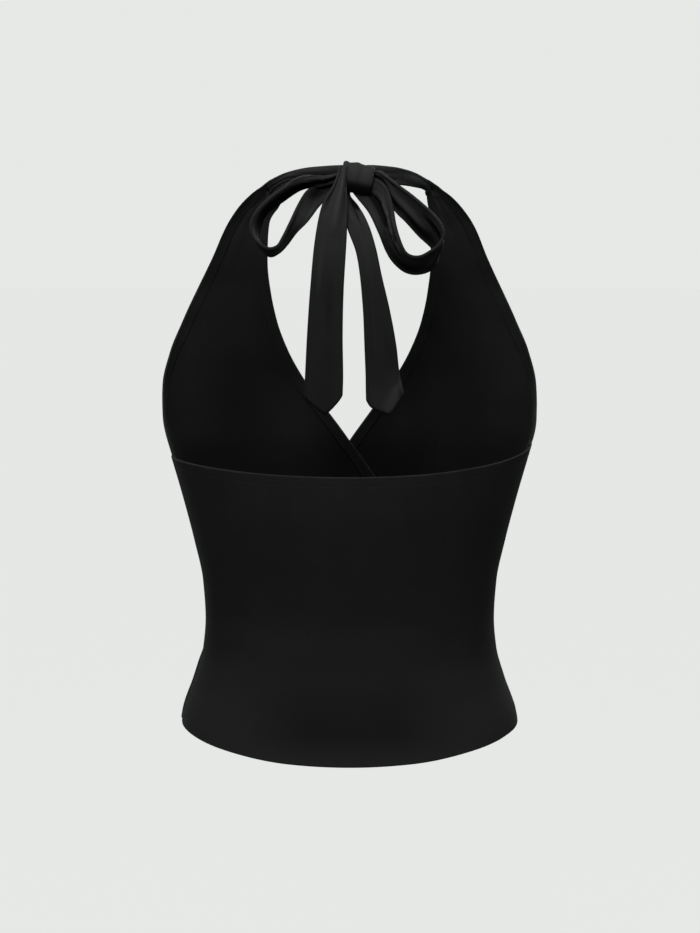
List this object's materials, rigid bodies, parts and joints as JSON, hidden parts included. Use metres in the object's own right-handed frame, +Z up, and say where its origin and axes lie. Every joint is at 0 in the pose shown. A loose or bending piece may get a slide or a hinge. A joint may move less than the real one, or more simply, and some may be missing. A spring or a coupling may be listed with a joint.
{
  "type": "knit halter crop top",
  "caption": "Black jersey halter crop top with a crossing V front, a low back and ties knotted in a bow at the nape, in its hollow worn form.",
  "frame": {"origin": "inner face of the neck strap at the middle of the nape, where the wearer's neck holds the garment up", "axes": "+Z up, the garment's front faces -Y and its back +Y, and +X is towards the wearer's left side"},
  "size_m": [0.329, 0.215, 0.4919],
  "materials": {
    "jersey_body": "fine black jersey with a soft matt sheen",
    "jersey_ties": "the same black jersey, doubled and turned, slightly brighter where it folds"
  },
  "bodies": {
    "root": {"front_left_panel": "jersey_body", "front_right_panel": "jersey_body", "back_panel": "jersey_body", "neck_strap_left": "jersey_ties", "neck_strap_right": "jersey_ties", "bow_knot": "jersey_ties", "bow_loop_left": "jersey_ties", "bow_loop_right": "jersey_ties", "tie_tail_left": "jersey_ties", "tie_tail_right": "jersey_ties"}
  },
  "joints": []
}
